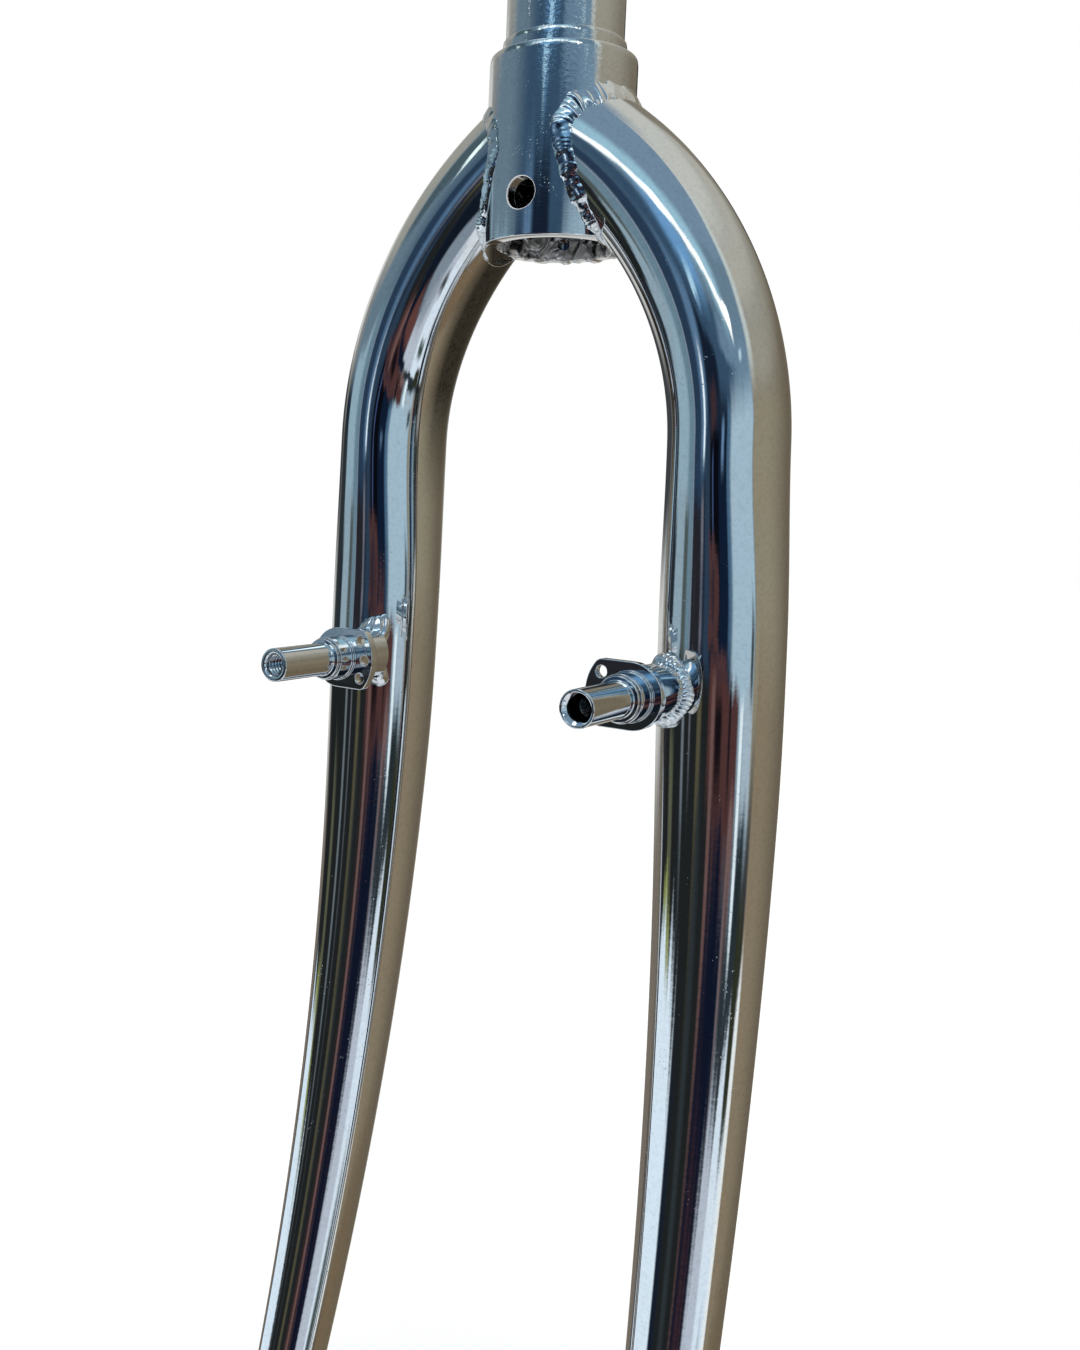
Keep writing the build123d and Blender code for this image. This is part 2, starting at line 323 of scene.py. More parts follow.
def steerer_mesh():
    """The turned tube with the bolt hole and the vent cut in its collar, and drips of plating on its lower edge."""
    angles = np.linspace(0, 2 * math.pi, STEERER_COLUMNS, endpoint=False)
    points = []
    beads = np.sin(23 * angles + 1.3 * np.sin(7 * angles)) + 0.8 * np.sin(13 * angles + 2.0)
    drips = DRIP * np.clip(0.2 + 0.6 * beads, 0, 1) * np.clip(1.4 * np.sin(angles + 0.3), 0, 1)
    for along, radius in steerer_outline:
        hang = drips if along < DRIP_EDGE else 0 * drips
        points += zip(radius * np.cos(angles), radius * np.sin(angles), along - hang)
    mesh = bpy.data.meshes.new("steerer")
    mesh.from_pydata(points, [], wrap_faces(len(steerer_outline), STEERER_COLUMNS, loop=True))
    body = bpy.data.objects.new("steerer", mesh)
    bpy.context.collection.objects.link(body)
    for drill in (bolt_drill(), vent_drill()):
        cut = body.modifiers.new("cut", "BOOLEAN")
        cut.object = drill
        cut.solver = "EXACT"
    bpy.context.view_layer.update()
    done = bpy.data.meshes.new_from_object(body.evaluated_get(bpy.context.evaluated_depsgraph_get()))
    for cut in body.modifiers:
        bpy.data.objects.remove(cut.object)
    bpy.data.objects.remove(body)
    return done


def true_normals(mesh):
    """Gives the round faces of the drilled tube the normals of a true cylinder."""
    normals = [Vector(corner.vector) for corner in mesh.corner_normals]
    for face in mesh.polygons:
        radial = Vector((face.center.x, face.center.y, 0)).normalized()
        facing = face.normal.dot(radial)
        if abs(facing) < 0.985 or abs(face.normal.z) > 0.02:
            continue
        for loop in face.loop_indices:
            point = mesh.vertices[mesh.loops[loop].vertex_index].co
            outward = Vector((point.x, point.y, 0)).normalized()
            normals[loop] = outward if facing > 0 else -outward
    mesh.normals_split_custom_set(normals)


MOUTH_TOP = -36 * MM
GRAINY_FROM = -14 * MM


def collar_wear_and_shade(place):
    """Painted shade: the bore is darkened to black above its rough mouth, and the walls of the holes are darkened too.
    The mouth is bumped and darkened in blotches, the darkening a painted stand-in for dark patches of reflection.
    The bolt hole's rim is bright and dull where its burr was cut away."""
    across = coordinate(place, "X")
    rise = coordinate(place, "Z")
    reach = place.add("ShaderNodeVectorMath", {"operation": "LENGTH"}, {0: scaled(place, (1, 1, 0))}, "Value")
    below = ((-1 * MM - rise) / MM).clamp()
    bore = ((COLLAR_BORE_R + 0.35 * MM - reach) / (0.2 * MM)).clamp() * below
    wall = ((COLLAR_R - 0.55 * MM - reach) / (0.2 * MM)).clamp() * below * ((rise - COLLAR_END - MM) / MM).clamp()
    deep = ((rise - MOUTH_TOP) / (3 * MM)).clamp()
    blotch = clouds(place, 240.0, 1.5, 1.5)
    # Painted shade deep in the bore and on the holes' walls, and painted dark reflection in blotches at the mouth.
    darkening = bore * (deep + ((blotch - 0.5) * 5.0).clamp() * 0.9) + wall * 0.35
    off = place.math("SQRT", across * across + (rise - BOLT_HOLE_Z) * (rise - BOLT_HOLE_Z))
    outside = ((reach - COLLAR_R + 0.6 * MM) / (0.2 * MM)).clamp()
    rim = ((BOLT_HOLE_R + BOLT_HOLE_EASE - off) / (0.1 * MM)).clamp() * outside
    above = ((rise - GRAINY_FROM) / (10 * MM)).clamp()
    coarse = clouds(place, 1150.0, 2.0)
    dull = bore * (1 - deep) * 0.4 + rim * 0.8
    return darkening, bore * 0.25 + rim * 0.35, bore * blotch * 24.0 + above * coarse * 0.35, dull


# The collar's chrome carries painted shade in its bore and holes.
turned_chrome = chrome("turned_chrome", specks=0.9, spread=0.4, lines=("Z", 0.05), wear_and_shade=collar_wear_and_shade)
steerer = piece_of("steerer", steerer_mesh(), turned_chrome, "steerer_tube")
steerer.modifiers.clear()
true_normals(steerer.data)


# Fork blades
# Two drawn steel tubes, bent inward at the top to meet the collar, straight past the brake posts and raked forward
# below, where they taper to the fork ends. They are mitred and welded to the collar and chromed to a mirror.
BLADE_R = 14.3 * MM
BLADE_TIP_R = 7.5 * MM
BEND_R = 87.5 * MM
BEND_HALF_WIDTH = 13.3 * MM
BEND_HALF_DEPTH = 15.3 * MM
BEND_END = np.array((47, 0, -91.3)) * MM
SPLAY = math.atan2(5.5, 289.7)
ROUNDING_RUN = 42 * MM
STRAIGHT_RUN = 22.7 * MM
RAKE_R = 670 * MM
RAKE_TURN = math.radians(19.627)
TAPER_EASE = 0.19
COLUMNS = 144
down = np.array((math.sin(SPLAY), 0, -math.cos(SPLAY)))
outward = np.array((math.cos(SPLAY), 0, math.sin(SPLAY)))
forward = np.array((0.0, -1.0, 0.0))
bend_centre = BEND_END - outward * BEND_R


def fullness(turn):
    """How much fuller than an ellipse the blade's section is by the collar: its lower corners are squeezed out."""
    return 0.42 * ((1 - np.cos(turn)) / 2) ** 6 * np.sin(turn) ** 2


def crown_climb(turn, collar_r):
    """How far round its bend a line along the blade meets the collar, at an angle about the blade."""
    full = 1 + fullness(turn)
    across = np.sqrt(collar_r ** 2 - (BEND_HALF_DEPTH * full * np.sin(turn)) ** 2)
    return np.arccos((across - bend_centre[0]) / (BEND_R + BEND_HALF_WIDTH * full * np.cos(turn)))


def on_bend(climb, turn):
    """A point of the blade's bend."""
    near = np.clip((np.degrees(climb) - 2) / 40, 0, 1)
    full = 1 + fullness(turn) * near * near * (3 - 2 * near)
    reach = BEND_R + BEND_HALF_WIDTH * full * np.cos(turn)
    flat = np.stack((reach * np.cos(climb), BEND_HALF_DEPTH * full * np.sin(turn), reach * np.sin(climb)), -1)
    return bend_centre + flat


def taper(run):
    """The blade's radius at a run past the start of its rake. The taper sets in softly."""
    share = run / (RAKE_R * RAKE_TURN)
    soft = np.clip(share + TAPER_EASE / 2, 0, TAPER_EASE)
    eased = soft * soft / (2 * TAPER_EASE) + max(share - TAPER_EASE / 2, 0)
    return BLADE_R + (BLADE_TIP_R - BLADE_R) * eased


def blade_rows():
    """Rings of points from the mitre at the collar to the tip."""
    turn = np.linspace(0, 2 * math.pi, COLUMNS, endpoint=False)
    side, depth = np.cos(turn)[:, None], np.sin(turn)[:, None]
    rows = []
    mitre = crown_climb(turn, COLLAR_R - 0.5 * MM)
    for share in np.linspace(0, 1, 90):
        rows.append(on_bend(mitre + (SPLAY - mitre) * share, turn))
    for share in np.linspace(0, 1, 40)[1:]:
        ease = share * share * (3 - 2 * share)
        half_width = BEND_HALF_WIDTH + (BLADE_R - BEND_HALF_WIDTH) * ease
        half_depth = BEND_HALF_DEPTH + (BLADE_R - BEND_HALF_DEPTH) * ease
        middle = BEND_END + down * ROUNDING_RUN * share
        rows.append(middle + outward * half_width * side - forward * half_depth * depth)
    rake_start = BEND_END + down * (ROUNDING_RUN + STRAIGHT_RUN)
    for share in np.linspace(0, 1, 14)[1:-1]:
        middle = BEND_END + down * (ROUNDING_RUN + STRAIGHT_RUN * share)
        radius = taper(STRAIGHT_RUN * (share - 1))
        rows.append(middle + outward * radius * side - forward * radius * depth)
    for share in np.linspace(0, 1, 200):
        lean = RAKE_TURN * share
        middle = rake_start + (down * math.sin(lean) + forward * (1 - math.cos(lean))) * RAKE_R
        across = down * math.sin(lean) - forward * math.cos(lean)
        radius = taper(RAKE_R * lean)
        rows.append(middle + outward * radius * side + across * radius * depth)
    return rows


def blade_parts():
    """Points and faces of the left blade, its ends closed."""
    rows = blade_rows()
    points = np.concatenate(rows)
    count = len(rows) * COLUMNS
    head = np.array((COLLAR_R - 0.5 * MM, 0, rows[0][:, 2].mean()))
    foot = rows[-1].mean(axis=0)
    faces = wrap_faces(len(rows), COLUMNS)
    last = count - COLUMNS
    for column in range(COLUMNS):
        ahead = (column + 1) % COLUMNS
        faces.append((count, ahead, column))
        faces.append((count + 1, last + column, last + ahead))
    return np.concatenate((points, [head, foot])), [face[::-1] for face in faces]


def on_side(side, points, faces):
    """The points and faces made for the left of the fork, mirrored for the right."""
    if side == "left":
        return [tuple(point) for point in points], faces
    return [(-x, y, z) for x, y, z in points], [face[::-1] for face in faces]


# Where the painted shade in the crotch ends towards the front and fades out below.
SHADE_FRONT = -6 * MM
SHADE_FOOT = -108 * MM


def crotch_painted_shade(place):
    """Painted shade: the chrome is darkened close under the crown, on the inner backs of the blades, and made a little
    rougher there.
    """
    back = coordinate(place, "Y")
    rise = coordinate(place, "Z")
    out = place.math("ABSOLUTE", coordinate(place, "X")) - float(bend_centre[0])
    climb = place.math("MAXIMUM", rise - float(bend_centre[2]), 0.0)
    reach = place.math("SQRT", out * out + climb * climb)
    inner = ((BEND_R - reach) / (5 * MM)).clamp()
    crotch_shade = inner * ((back - SHADE_FRONT) / (4.5 * MM)).clamp() * ((rise - SHADE_FOOT) / (30 * MM)).clamp()
    # Painted shade, with a little more roughness.
    return crotch_shade * 0.82, crotch_shade * 0.06, 0.0, 0.0


# The blades' chrome carries painted shade in the crotch under the crown.
tube_chrome = chrome("tube_chrome", wear_and_shade=crotch_painted_shade)
for side in ("left", "right"):
    points, faces = on_side(side, *blade_parts())
    piece_from(side + "_fork_blade", points, faces, tube_chrome, side + "_blade", sharp=60)


# Crown welds
# A hand-laid bead runs right round each blade where it meets the collar, a row of overlapping crescents.
# It was plated with the rest, so every ripple is a small mirror.
CROWN_BEAD_R = 2.5 * MM
CROWN_BEAD_SINK = 0.35 * MM
BEAD_ARC = math.radians(115)


def wander(length, step, seed):
    """A smooth random line along a length, of values between -1 and 1."""
    chance = np.random.default_rng(seed).uniform(-1, 1, int(length.max() / step) + 3)
    place = length / step
    low = place.astype(int)
    share = place - low
    share = share * share * (3 - 2 * share)
    return chance[low] * (1 - share) + chance[low + 1] * share


def bead_parts(
    seam,
    turns,
    radius,
    sink,
    pitch,
    ripple,
    seed,
    lumps=(),
    loop=False,
    swell=None,
    rough_ends=None,
    knobs=0.05,
    tall=0.86,
    broad=1.08,
):
    """Points and faces of a weld bead along a seam. seam gives the place and the outward direction at each turn.
    Each ripple is a crescent of the given pitch. lumps are (turn, height, length), swell scales the bead by turn,
    rough_ends its ripples, and knobs is its unevenness all over. tall and broad are its shares of the radius."""
    place, out = seam(turns)
    tall = np.ones(len(turns)) * (tall(turns) if callable(tall) else tall)
    ahead = np.roll(place, -1, 0) - np.roll(place, 1, 0) if loop else np.gradient(place, axis=0)
    ahead /= np.linalg.norm(ahead, axis=1)[:, None]
    out = out - ahead * (out * ahead).sum(1)[:, None]
    out /= np.linalg.norm(out, axis=1)[:, None]
    across = np.cross(ahead, out)
    steps = np.linalg.norm(np.diff(place, axis=0), axis=1)
    length = np.concatenate(([0], np.cumsum(steps)))
    total = length[-1] + (np.linalg.norm(place[0] - place[-1]) if loop else 0)
    pitch = total / round(total / pitch)
    size = 1 + 0.10 * wander(length, 4 * MM, seed) + 0.06 * wander(length, 1.3 * MM, seed + 1)
    jitter = 0.8 * pitch * wander(length, 3 * MM, seed + 2)
    depth = ripple * (1 + 0.6 * wander(length, 2 * MM, seed + 3))
    lean = 0.12 * wander(length, 3 * MM, seed + 4)
    if loop:
        fade = np.clip(np.minimum(length, total - length) / (6 * MM), 0, 1)
        size = 1 + (size - 1) * fade
        jitter = jitter * fade
        lean = lean * fade
    else:
        fade = np.clip(np.minimum(length, total - length) / (2.6 * MM), 0, 1)
        size = size * (0.3 + 0.7 * np.sqrt(1 - (1 - fade) ** 2))
    if swell:
        size = size * swell(turns)
    if rough_ends:
        depth = depth * rough_ends(turns)
    for turn, height, run in lumps:
        size = size + height / radius * np.exp(-((place - seam(np.array([turn]))[0][0]) ** 2).sum(1) / run ** 2)
    arc = np.linspace(-BEAD_ARC, BEAD_ARC, 29)
    strands = np.stack([wander(length, 1.2 * MM, seed + 10 + strand) for strand in range(8)])
    ends = np.clip(np.minimum(length, total - length) / (3 * MM), 0, 1)
    spot = np.linspace(0, 6.999, len(arc))
    low = spot.astype(int)
    uneven = strands[low] * (1 - spot + low)[:, None] + strands[low + 1] * (spot - low)[:, None]
    uneven = 1 + knobs * uneven * ends * (0.4 + rough_ends(turns) if rough_ends else 1)
    rows = []
    for i in range(len(turns)):
        phase = (length[i] + jitter[i] + 1.2 * radius * (1 - np.cos(arc))) / pitch
        share = phase - np.floor(phase)
        crescent = 1 - np.abs(2 * share - 1) ** 2.0
        reach = radius * size[i] * uneven[:, i] * (1 - depth[i] * (1 - crescent) * np.cos(arc * 0.7))
        rise = reach * (tall[i] * np.cos(arc) + lean[i] * np.sin(arc))
        spread = reach * broad * np.sin(arc)
        middle = place[i] - out[i] * sink * size[i]
        rows.append(middle + out[i] * rise[:, None] + across[i] * spread[:, None])
    points = np.concatenate(rows)
    faces = wrap_faces(len(rows), len(arc), loop)
    if not loop:
        faces.append(tuple(range(len(arc)))[::-1])
        faces.append(tuple(range(len(points) - len(arc), len(points))))
    return points, faces


def crown_seam(turn):
    """The line where the blade's outside meets the collar's, and the way out of the corner between them."""
    climb = crown_climb(turn, COLLAR_R)
    place = on_bend(climb, turn)
    around = np.cos(turn) / BEND_HALF_WIDTH
    blade = np.stack((around * np.cos(climb), np.sin(turn) / BEND_HALF_DEPTH, around * np.sin(climb)), -1)
    blade /= np.linalg.norm(blade, axis=1)[:, None]
    collar = place * (1, 1, 0) / COLLAR_R
    return place, blade + collar


def crown_swell(turn):
    """The crown's bead is broad over the top and slender underneath."""
    under = np.clip((np.abs(turn) - math.radians(142)) / math.radians(14), 0, 1)
    return (1.02 + 0.26 * np.cos(turn) + 0.06 * np.cos(2 * turn)) * (1 - 0.88 * under)


def crown_height(turn):
    """The crown's bead is flat where blade and collar run together, and taller in the groove below."""
    return 0.5 + 0.45 * np.clip((np.abs(turn) - math.radians(95)) / math.radians(50), 0, 1)


def crown_roughness(turn):
    """The crown's bead is smooth down its front and back, and rough where it starts and ends."""
    return 0.3 + 0.7 * np.cos(turn / 2 + 0.4) ** 30 + 0.8 * np.sin(turn / 2) ** 8


LEFT_LUMPS = (-27, -38, -49, -60, -118, -131, -144, -156, -167)
RIGHT_LUMPS = (-20, -140, -150, -162)
CROWN_LUMPS = {
    "left": [(math.radians(angle), 0.55 * MM, 1.3 * MM) for angle in LEFT_LUMPS],
    "right": [(math.radians(angle), 0.4 * MM, 1.4 * MM) for angle in RIGHT_LUMPS],
}
weld_chrome = chrome("weld_chrome", peel=0.15, specks=1.0, roughness=0.05)
for side, seed, width in (("left", 11, 1.0), ("right", 23, 0.8)):
    turns = np.linspace(-math.pi, math.pi, 900, endpoint=False)
    bead = bead_parts(
        crown_seam,
        turns,
        CROWN_BEAD_R * width,
        CROWN_BEAD_SINK * width,
        1.5 * MM,
        0.07,
        seed,
        lumps=CROWN_LUMPS[side],
        loop=True,
        swell=crown_swell,
        rough_ends=crown_roughness,
        knobs=0.09,
        tall=crown_height,
        broad=1.45,
    )
    points, faces = on_side(side, *bead)
    piece_from(side + "_crown_bead", points, faces, weld_chrome, side + "_crown_weld", sharp=70)


# Brake boss barrels
# Short turned steel barrels, coped to the blades' fronts and welded there. Each is tapped for the stud and backs the
# spring plate, and is chromed with the fork.
BOSS_X = 40 * MM
BOSS_Z = -146.6 * MM
BARREL_R = 6 * MM
BARREL_FACE = 27.5 * MM
BARREL_ROOT = 14.5 * MM
BARREL_SLANT = 1 / 3


def on_boss(points):
    """Points of a solid turned about Z, set on the left boss's axis with Z forward."""
    return [(BOSS_X + x, -z, BOSS_Z + y) for x, y, z in points]


boss_chrome = chrome("boss_chrome", lines=("Y", 0.05))
for side in ("left", "right"):
    profile = rounded([(0, 0, 0), (0, BARREL_R, 0), (BARREL_FACE, BARREL_R, 0.3 * MM), (BARREL_FACE, 0, 0)])
    points, faces = turned(profile, 128)
    points = [(x, y, z if z > 0 else BARREL_ROOT - x * BARREL_SLANT) for x, y, z in points]
    points, faces = on_side(side, on_boss(points), faces)
    piece_from(side + "_barrel", points, faces, boss_chrome, side + "_boss_barrel")


# Boss welds
# A bead joins each barrel to its blade over the top, the outboard side and the bottom. The inboard side, which is
# tangent to the blade, is left bare. It is lumpier than the crown's.
BOSS_BEAD_R = 2.3 * MM
BOSS_BEAD_SINK = 0.5 * MM
BOSS_BEAD_TURN = math.radians(112)


def boss_seam(turn):
    """The line where the barrel meets the blade's front, and the way out of the corner between them."""
    x = BOSS_X + BARREL_R * np.cos(turn)
    z = BOSS_Z + BARREL_R * np.sin(turn)
    off = x - (BEND_END[0] - (z - BEND_END[2]) * math.tan(SPLAY))
    y = -np.sqrt(BLADE_R ** 2 - off ** 2)
    blade = np.stack((off, y, 0 * x), -1) / BLADE_R
    stand = np.clip((np.abs(turn) - math.radians(50)) / math.radians(40), 0, 1)
    y = y - 1.8 * MM * stand
    radial = np.stack((np.cos(turn), 0 * x, np.sin(turn)), -1)
    return np.stack((x, y, z), -1), blade + radial


BOSS_LUMPS = {
    "left": [
        (math.radians(96), 0.3 * MM, 1.8 * MM),
        (math.radians(62), 0.4 * MM, 2.0 * MM),
        (math.radians(-72), 0.8 * MM, 2.2 * MM),
        (math.radians(-100), 0.9 * MM, 2.4 * MM),
    ],
    "right": [
        (math.radians(106), 2.6 * MM, 2.2 * MM),
        (math.radians(78), 1.6 * MM, 2.0 * MM),
        (math.radians(56), 0.9 * MM, 2.0 * MM),
        (math.radians(-96), 1.4 * MM, 2.6 * MM),
    ],
}
for side, seed, pitch, knobs in (("left", 37, 1.05 * MM, 0.07), ("right", 41, 2.1 * MM, 0.03)):
    turns = np.linspace(-BOSS_BEAD_TURN, BOSS_BEAD_TURN, 420)
    bead = bead_parts(
        boss_seam,
        turns,
        BOSS_BEAD_R,
        BOSS_BEAD_SINK,
        pitch,
        0.11,
        seed,
        lumps=BOSS_LUMPS[side],
        knobs=knobs,
    )
    points, faces = on_side(side, *bead)
    piece_from(side + "_boss_bead", points, faces, weld_chrome, side + "_boss_weld", sharp=70)


# Spring plates
# Stamped steel plates clamped between barrel and stud, with a rounded ear towards the wheel. Three small holes in the
# ear take the spring of a brake. Their edges were rounded by tumbling before they were chromed.
PLATE_ROUNDING = 0.32 * MM


def softened(node, rounding, sharp=40):
    """A copy of a plain solid's mesh with its sharp edges rounded off."""
    work = bmesh.new()
    work.from_mesh(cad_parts[node].data)
    bmesh.ops.remove_doubles(work, verts=work.verts, dist=1e-6)
    bmesh.ops.dissolve_limit(work, angle_limit=math.radians(0.5), verts=work.verts, edges=work.edges)
    edges = [edge for edge in work.edges if edge.calc_face_angle(0) > math.radians(sharp)]
    bmesh.ops.bevel(work, geom=edges, offset=rounding, segments=3, profile=0.5, affect="EDGES", clamp_overlap=True)
    mesh = bpy.data.meshes.new(node)
    work.to_mesh(mesh)
    work.free()
    mesh.transform(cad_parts[node].matrix_world)
    return mesh


for side in ("left", "right"):
    plate = softened(side + "_spring_plate", PLATE_ROUNDING)
    piece_of(side + "_plate", plate, boss_chrome, side + "_spring_plate", sharp=30)


# Pivot studs
# Turned steel studs screwed into the barrels through the plates: a flanged shoulder, a narrow step and the post that
# a brake arm turns on. The bore is tapped for the bolt that keeps the arm on.
STUD_ROOT = 27.0 * MM
STUD_SEAT = 29.7 * MM
STUD_FLANGE = 30.4 * MM
STUD_SHOULDER = 34.7 * MM
STUD_STEP = 35.7 * MM
STUD_END = 53.3 * MM
POST_R = 4 * MM
STEP_R = 4.95 * MM
SHOULDER_R = 5.3 * MM
FLANGE_R = 5.65 * MM
TAPPED_R = 2.5 * MM
TAP_DEPTH = 12.6 * MM
THREAD_PITCH = 1.0 * MM
THREAD_DEPTH = 0.5 * MM
THREAD_ROWS = 150


def stud_parts(thread_start, lip):
    """Points and faces of a stud about Z, its thread cut as a true helix from a depth on, behind an eased lip."""
    outside = rounded(
        [
            (STUD_ROOT, 0, 0),
            (STUD_ROOT, 3.9 * MM, 0),
            (STUD_SEAT, 3.9 * MM, 0),
            (STUD_SEAT, FLANGE_R, 0.15 * MM),
            (STUD_FLANGE, FLANGE_R, 0.22 * MM),
            (STUD_FLANGE, SHOULDER_R, 0.1 * MM),
            (STUD_SHOULDER, SHOULDER_R, 0.3 * MM),
            (STUD_SHOULDER, STEP_R - 0.35 * MM, 0.12 * MM),
            (STUD_SHOULDER + 0.3 * MM, STEP_R - 0.35 * MM, 0.1 * MM),
            (STUD_SHOULDER + 0.3 * MM, STEP_R, 0.12 * MM),
            (STUD_STEP, STEP_R, 0.3 * MM),
            (STUD_STEP, POST_R, 0.25 * MM),
            (STUD_END, POST_R, 0.4 * MM),
            (STUD_END, TAPPED_R + lip, 0.2 * MM),
            (STUD_END - lip, TAPPED_R + 0.05 * MM, 0.15 * MM),
            (STUD_END - thread_start, TAPPED_R + 0.05 * MM, 0),
        ]
    )
    depths = np.linspace(STUD_END - thread_start - 0.05 * MM, STUD_END - TAP_DEPTH, THREAD_ROWS)
    inside = np.stack((depths, np.full(THREAD_ROWS, TAPPED_R)), -1)
    bottom = [(STUD_END - TAP_DEPTH - 1.3 * MM, TAPPED_R), (STUD_END - TAP_DEPTH - 2.7 * MM, 0)]
    profile = np.concatenate((outside, inside, bottom))
    first = len(outside)

    def thread(row, angles):
        if not first <= row < first + THREAD_ROWS:
            return 0.0
        share = (depths[row - first] / THREAD_PITCH + angles / (2 * math.pi)) % 1.0
        edge = min(row - first, first + THREAD_ROWS - 1 - row) / 10
        return THREAD_DEPTH * np.clip(1.25 - 2.5 * np.abs(share - 0.5), 0, 1) * min(1.0, edge)

    return turned(profile, 112, thread)


def stud_bore_shade(place):
    """Painted shade: the studs' bores are darkened, more so deeper in, and made a little rougher."""
    beside = place.math("ABSOLUTE", coordinate(place, "X")) - BOSS_X
    above = coordinate(place, "Z") - BOSS_Z
    reach = place.math("SQRT", beside * beside + above * above)
    bore = ((TAPPED_R + 0.2 * MM - reach) / (0.15 * MM)).clamp()
    deep = ((coordinate(place, "Y") + STUD_END - 0.8 * MM) / (2 * MM)).clamp()
    return bore * (0.35 + 0.6 * deep), bore * 0.08, 0.0, 0.0


# The studs' chrome carries painted shade in their bores.
stud_chrome = chrome("stud_chrome", peel=0.02, specks=0.2, lines=("Y", 0.03), roughness=0.025, wear_and_shade=stud_bore_shade)
for side, thread_start, lip in (("left", 6 * MM, 0.95 * MM), ("right", 0.9 * MM, 0.5 * MM)):
    points, faces = stud_parts(thread_start, lip)
    points, faces = on_side(side, on_boss(points), faces)
    piece_from(side + "_stud", points, faces, stud_chrome, side + "_pivot_stud", sharp=40)


# Fork ends
# Stamped steel plates with an open slot for the axle, their tongues let into the blades' tips. Their edges were
# eased by grinding before they were chromed.
DROPOUT_ROUNDING = 0.6 * MM

dropout_chrome = chrome("dropout_chrome", peel=0.06)
for side in ("left", "right"):
    end = softened(side + "_dropout", DROPOUT_ROUNDING)
    piece_of(side + "_fork_end", end, dropout_chrome, side + "_dropout", sharp=30)


# Tip welds
# The mouth of each blade is closed round the fork end's tongue by a ring of weld, ground to a blunt cone.
TIP_WELD_LENGTH = 5 * MM
TIP_WELD_END_R = 5.55 * MM

tip = blade_rows()[-1].mean(axis=0)
tip_down = down * math.cos(RAKE_TURN) + forward * math.sin(RAKE_TURN)
tip_across = down * math.sin(RAKE_TURN) - forward * math.cos(RAKE_TURN)


def tip_weld_parts(seed):
    """Points and faces of the blunt cone, rippled round and along."""
    profile = rounded(
        [
            (-1.5 * MM, 0, 0),
            (-1.5 * MM, BLADE_TIP_R - 0.6 * MM, 0),
            (-0.6 * MM, BLADE_TIP_R + 0.12 * MM, 0.4 * MM),
            (1.2 * MM, BLADE_TIP_R - 0.1 * MM, 0.5 * MM),
            (TIP_WELD_LENGTH, TIP_WELD_END_R, 0.8 * MM),
            (TIP_WELD_LENGTH, 0, 0),
        ],
        steps=7,
    )
    chance = np.random.default_rng(seed).uniform(0, 2 * math.pi, 6)

    def lumps(row, angles):
        share = np.sin(math.pi * row / len(profile)) * 0.2 * MM
        waves = np.sin(17 * angles + 3 * np.sin(2 * angles + chance[0]) + 0.4 * row + chance[1])
        return share * (np.abs(waves) ** 0.6 - 0.6 + 0.5 * np.sin(5 * angles + chance[2] + 0.2 * row))

    points, faces = turned(profile, 160, lumps)
    points = [tip + outward * x + tip_across * y + tip_down * z for x, y, z in points]
    return points, [face[::-1] for face in faces]


for side, seed in (("left", 53), ("right", 59)):
    points, faces = on_side(side, *tip_weld_parts(seed))
    piece_from(side + "_tip_bead", points, faces, weld_chrome, side + "_tip_weld", sharp=60)


# Floor, light tent and camera
# The fork is placed over a round white floor laid at the height of its lowest point. A tent of coloured cards stands
# round it, seen only by what mirrors it, and a soft lamp and a white surround light the floor.
PHOTO_WIDTH = 1080
PHOTO_HEIGHT = 1350
EYE_HEADING = 35.441
EYE_RISE = 3.522
EYE_ROLL = 2.216
EYE_DISTANCE = 336.227 * MM
EYE_TARGET = Vector((-36.91, 0, -126.753)) * MM
FOCAL_PIXELS = 1267.416
CENTRE_X = 420.0
CENTRE_Y = 575.04
SENSOR = 36.0

heading, rise, roll = (math.radians(angle) for angle in (EYE_HEADING, EYE_RISE, EYE_ROLL))
back = Vector((math.sin(heading) * math.cos(rise), -math.cos(heading) * math.cos(rise), math.sin(rise)))
level = Vector((math.cos(heading), math.sin(heading), 0))
upright = back.cross(level)
view_right = level * math.cos(roll) + upright * math.sin(roll)
view_up = upright * math.cos(roll) - level * math.sin(roll)
lens = bpy.data.cameras.new("camera")
lens.sensor_width = SENSOR
lens.lens = FOCAL_PIXELS * SENSOR / PHOTO_HEIGHT
lens.shift_x = (PHOTO_WIDTH / 2 - CENTRE_X) / PHOTO_HEIGHT
lens.shift_y = (CENTRE_Y - PHOTO_HEIGHT / 2) / PHOTO_HEIGHT
lens.clip_start = 0.01
camera = bpy.data.objects.new("camera", lens)
turn = Matrix((view_right, view_up, back)).transposed()
camera.matrix_world = Matrix.Translation(EYE_TARGET + back * EYE_DISTANCE) @ turn.to_4x4()
bpy.context.collection.objects.link(camera)
bpy.context.scene.camera = camera
bpy.context.scene.view_settings.view_transform = "Standard"

TENT_RADIUS = 25.0
TENT_COLUMNS = 400
TENT_STRENGTH = 1.25
DARK_ROOM = (24, 36, 52)
